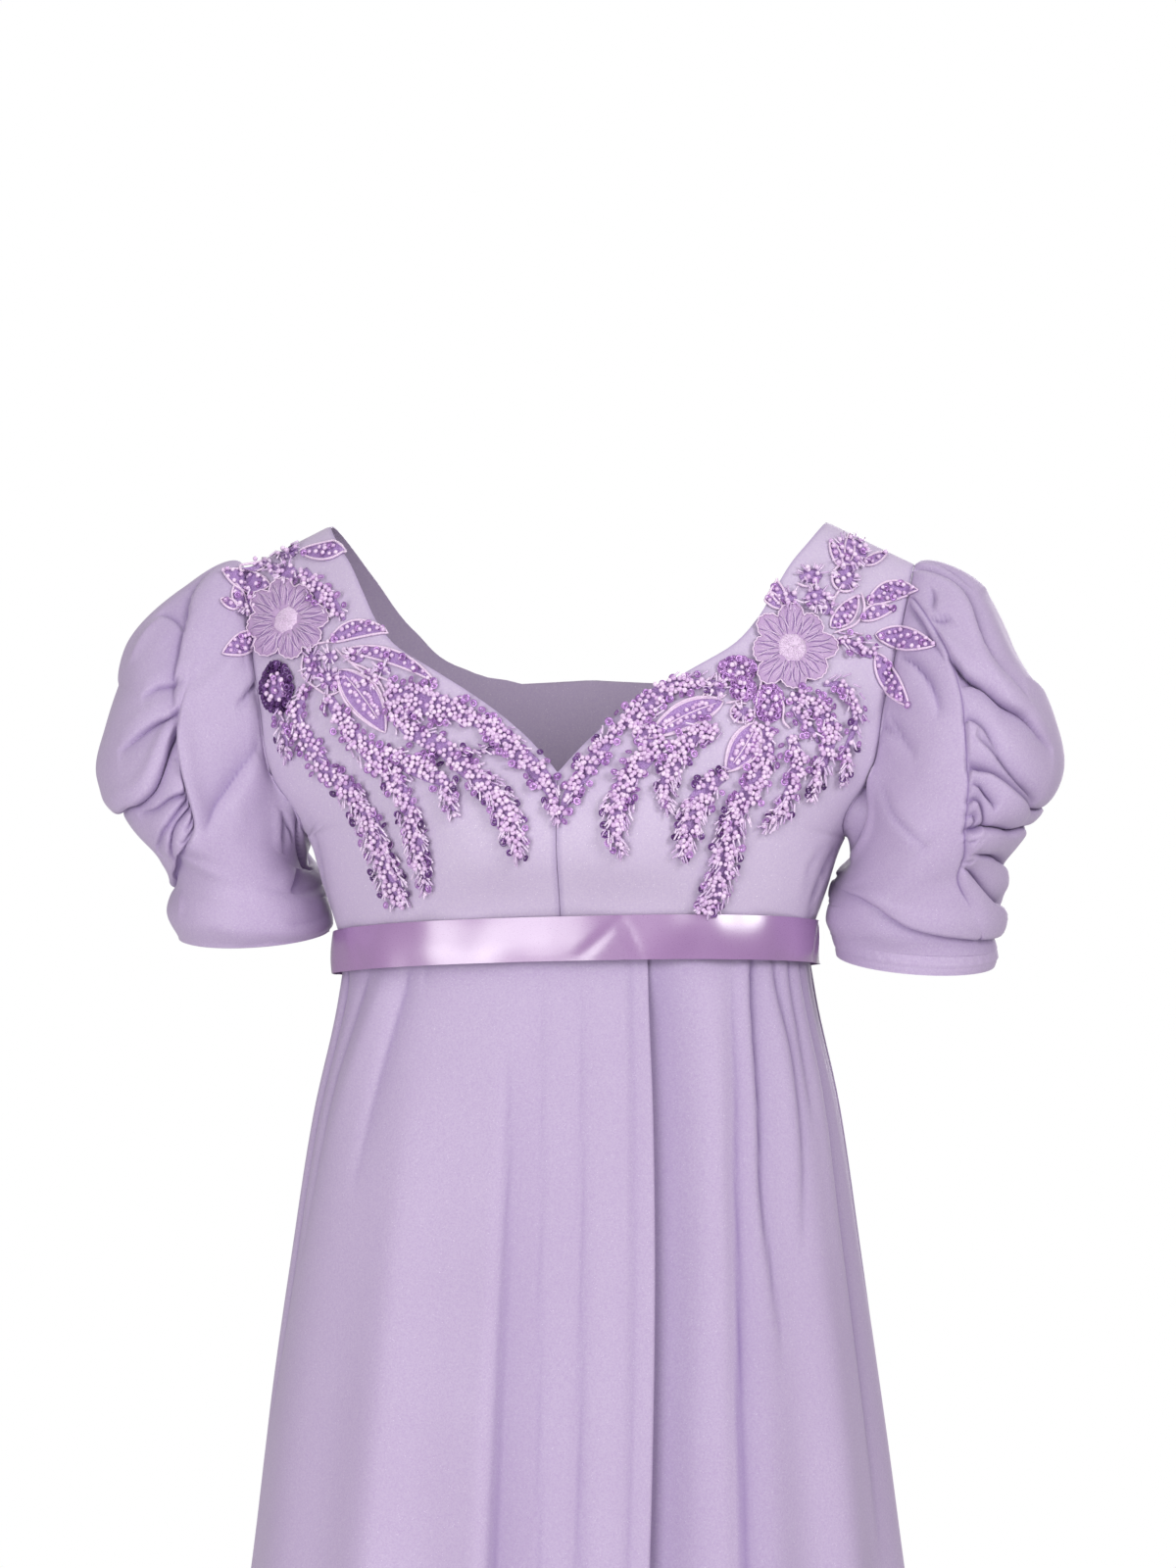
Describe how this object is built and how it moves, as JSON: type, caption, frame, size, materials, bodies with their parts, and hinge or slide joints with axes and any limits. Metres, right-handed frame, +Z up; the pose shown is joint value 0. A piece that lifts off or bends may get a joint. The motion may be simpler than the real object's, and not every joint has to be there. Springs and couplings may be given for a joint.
{
  "type": "regency gown",
  "caption": "Empire-waist gown with a V neckline, short puffed sleeves, beaded lace on the shoulders, a satin ribbon under the bust and a long pleated skirt.",
  "frame": {"origin": "the middle of the line between the two shoulder seams, as high as the shoulders' outer ends, where the wearer holds the gown up", "axes": "+Z up, -Y out of the gown's front, +X to the wearer's left"},
  "size_m": [0.6326, 0.4858, 1.4163],
  "materials": {
    "crepe": "matte lilac crepe with a slight sheen",
    "satin": "glossy lilac satin",
    "lace": "lilac net lace with pale beads and dark sequins"
  },
  "bodies": {
    "root": {"applique_left": "lace", "applique_right": "lace", "bodice_back_left": "crepe", "bodice_back_right": "crepe", "bodice_front_left": "crepe", "bodice_front_right": "crepe", "ribbon_sash": "satin", "skirt_back_left": "crepe", "skirt_back_right": "crepe", "skirt_front": "crepe", "sleeve_band_left": "crepe", "sleeve_band_right": "crepe", "sleeve_puff_left": "crepe", "sleeve_puff_right": "crepe", "sleeve_under_left": "crepe", "sleeve_under_right": "crepe"}
  },
  "joints": []
}
